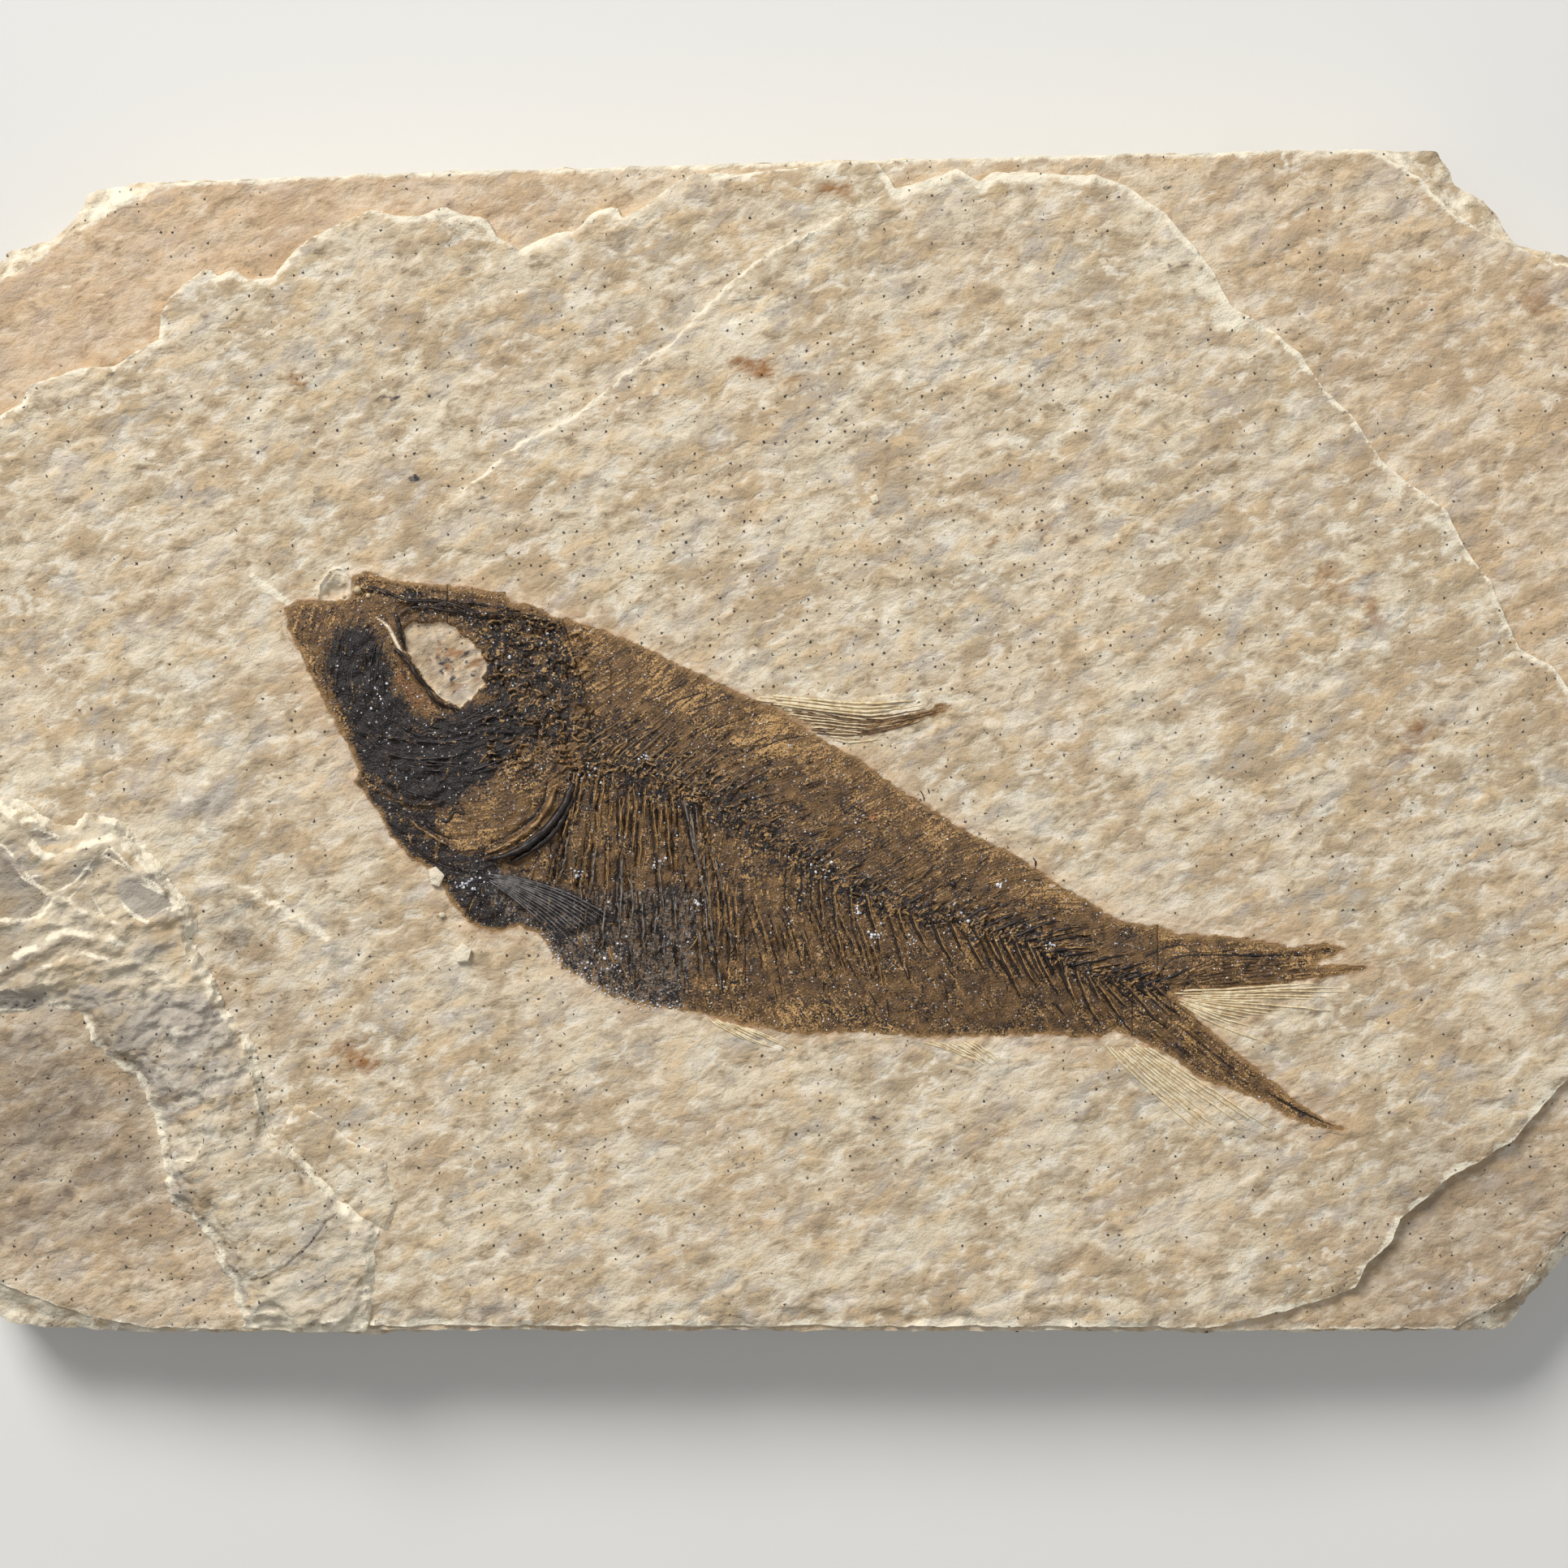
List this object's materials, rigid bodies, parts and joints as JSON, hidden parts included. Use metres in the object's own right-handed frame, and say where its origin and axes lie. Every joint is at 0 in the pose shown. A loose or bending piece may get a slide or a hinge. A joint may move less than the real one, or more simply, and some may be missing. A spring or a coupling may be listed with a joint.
{
  "type": "fossil fish slab",
  "caption": "Thin split slab of cream limestone with ragged ledges and broken corners, one flattened brown fossil fish on its face, lying on its flat back.",
  "frame": {"origin": "middle of the slab's flat back, under the middle of its outline", "axes": "+X along the slab towards the fish's tail, +Y across it towards the fish's back, +Z out of the face that shows the fish"},
  "size_m": [0.1283, 0.0908, 0.0106],
  "materials": {
    "limestone": "matte",
    "fossil_bone": "satin"
  },
  "bodies": {
    "root": {"limestone_slab": "limestone", "fossil_fish": "fossil_bone"}
  },
  "joints": []
}
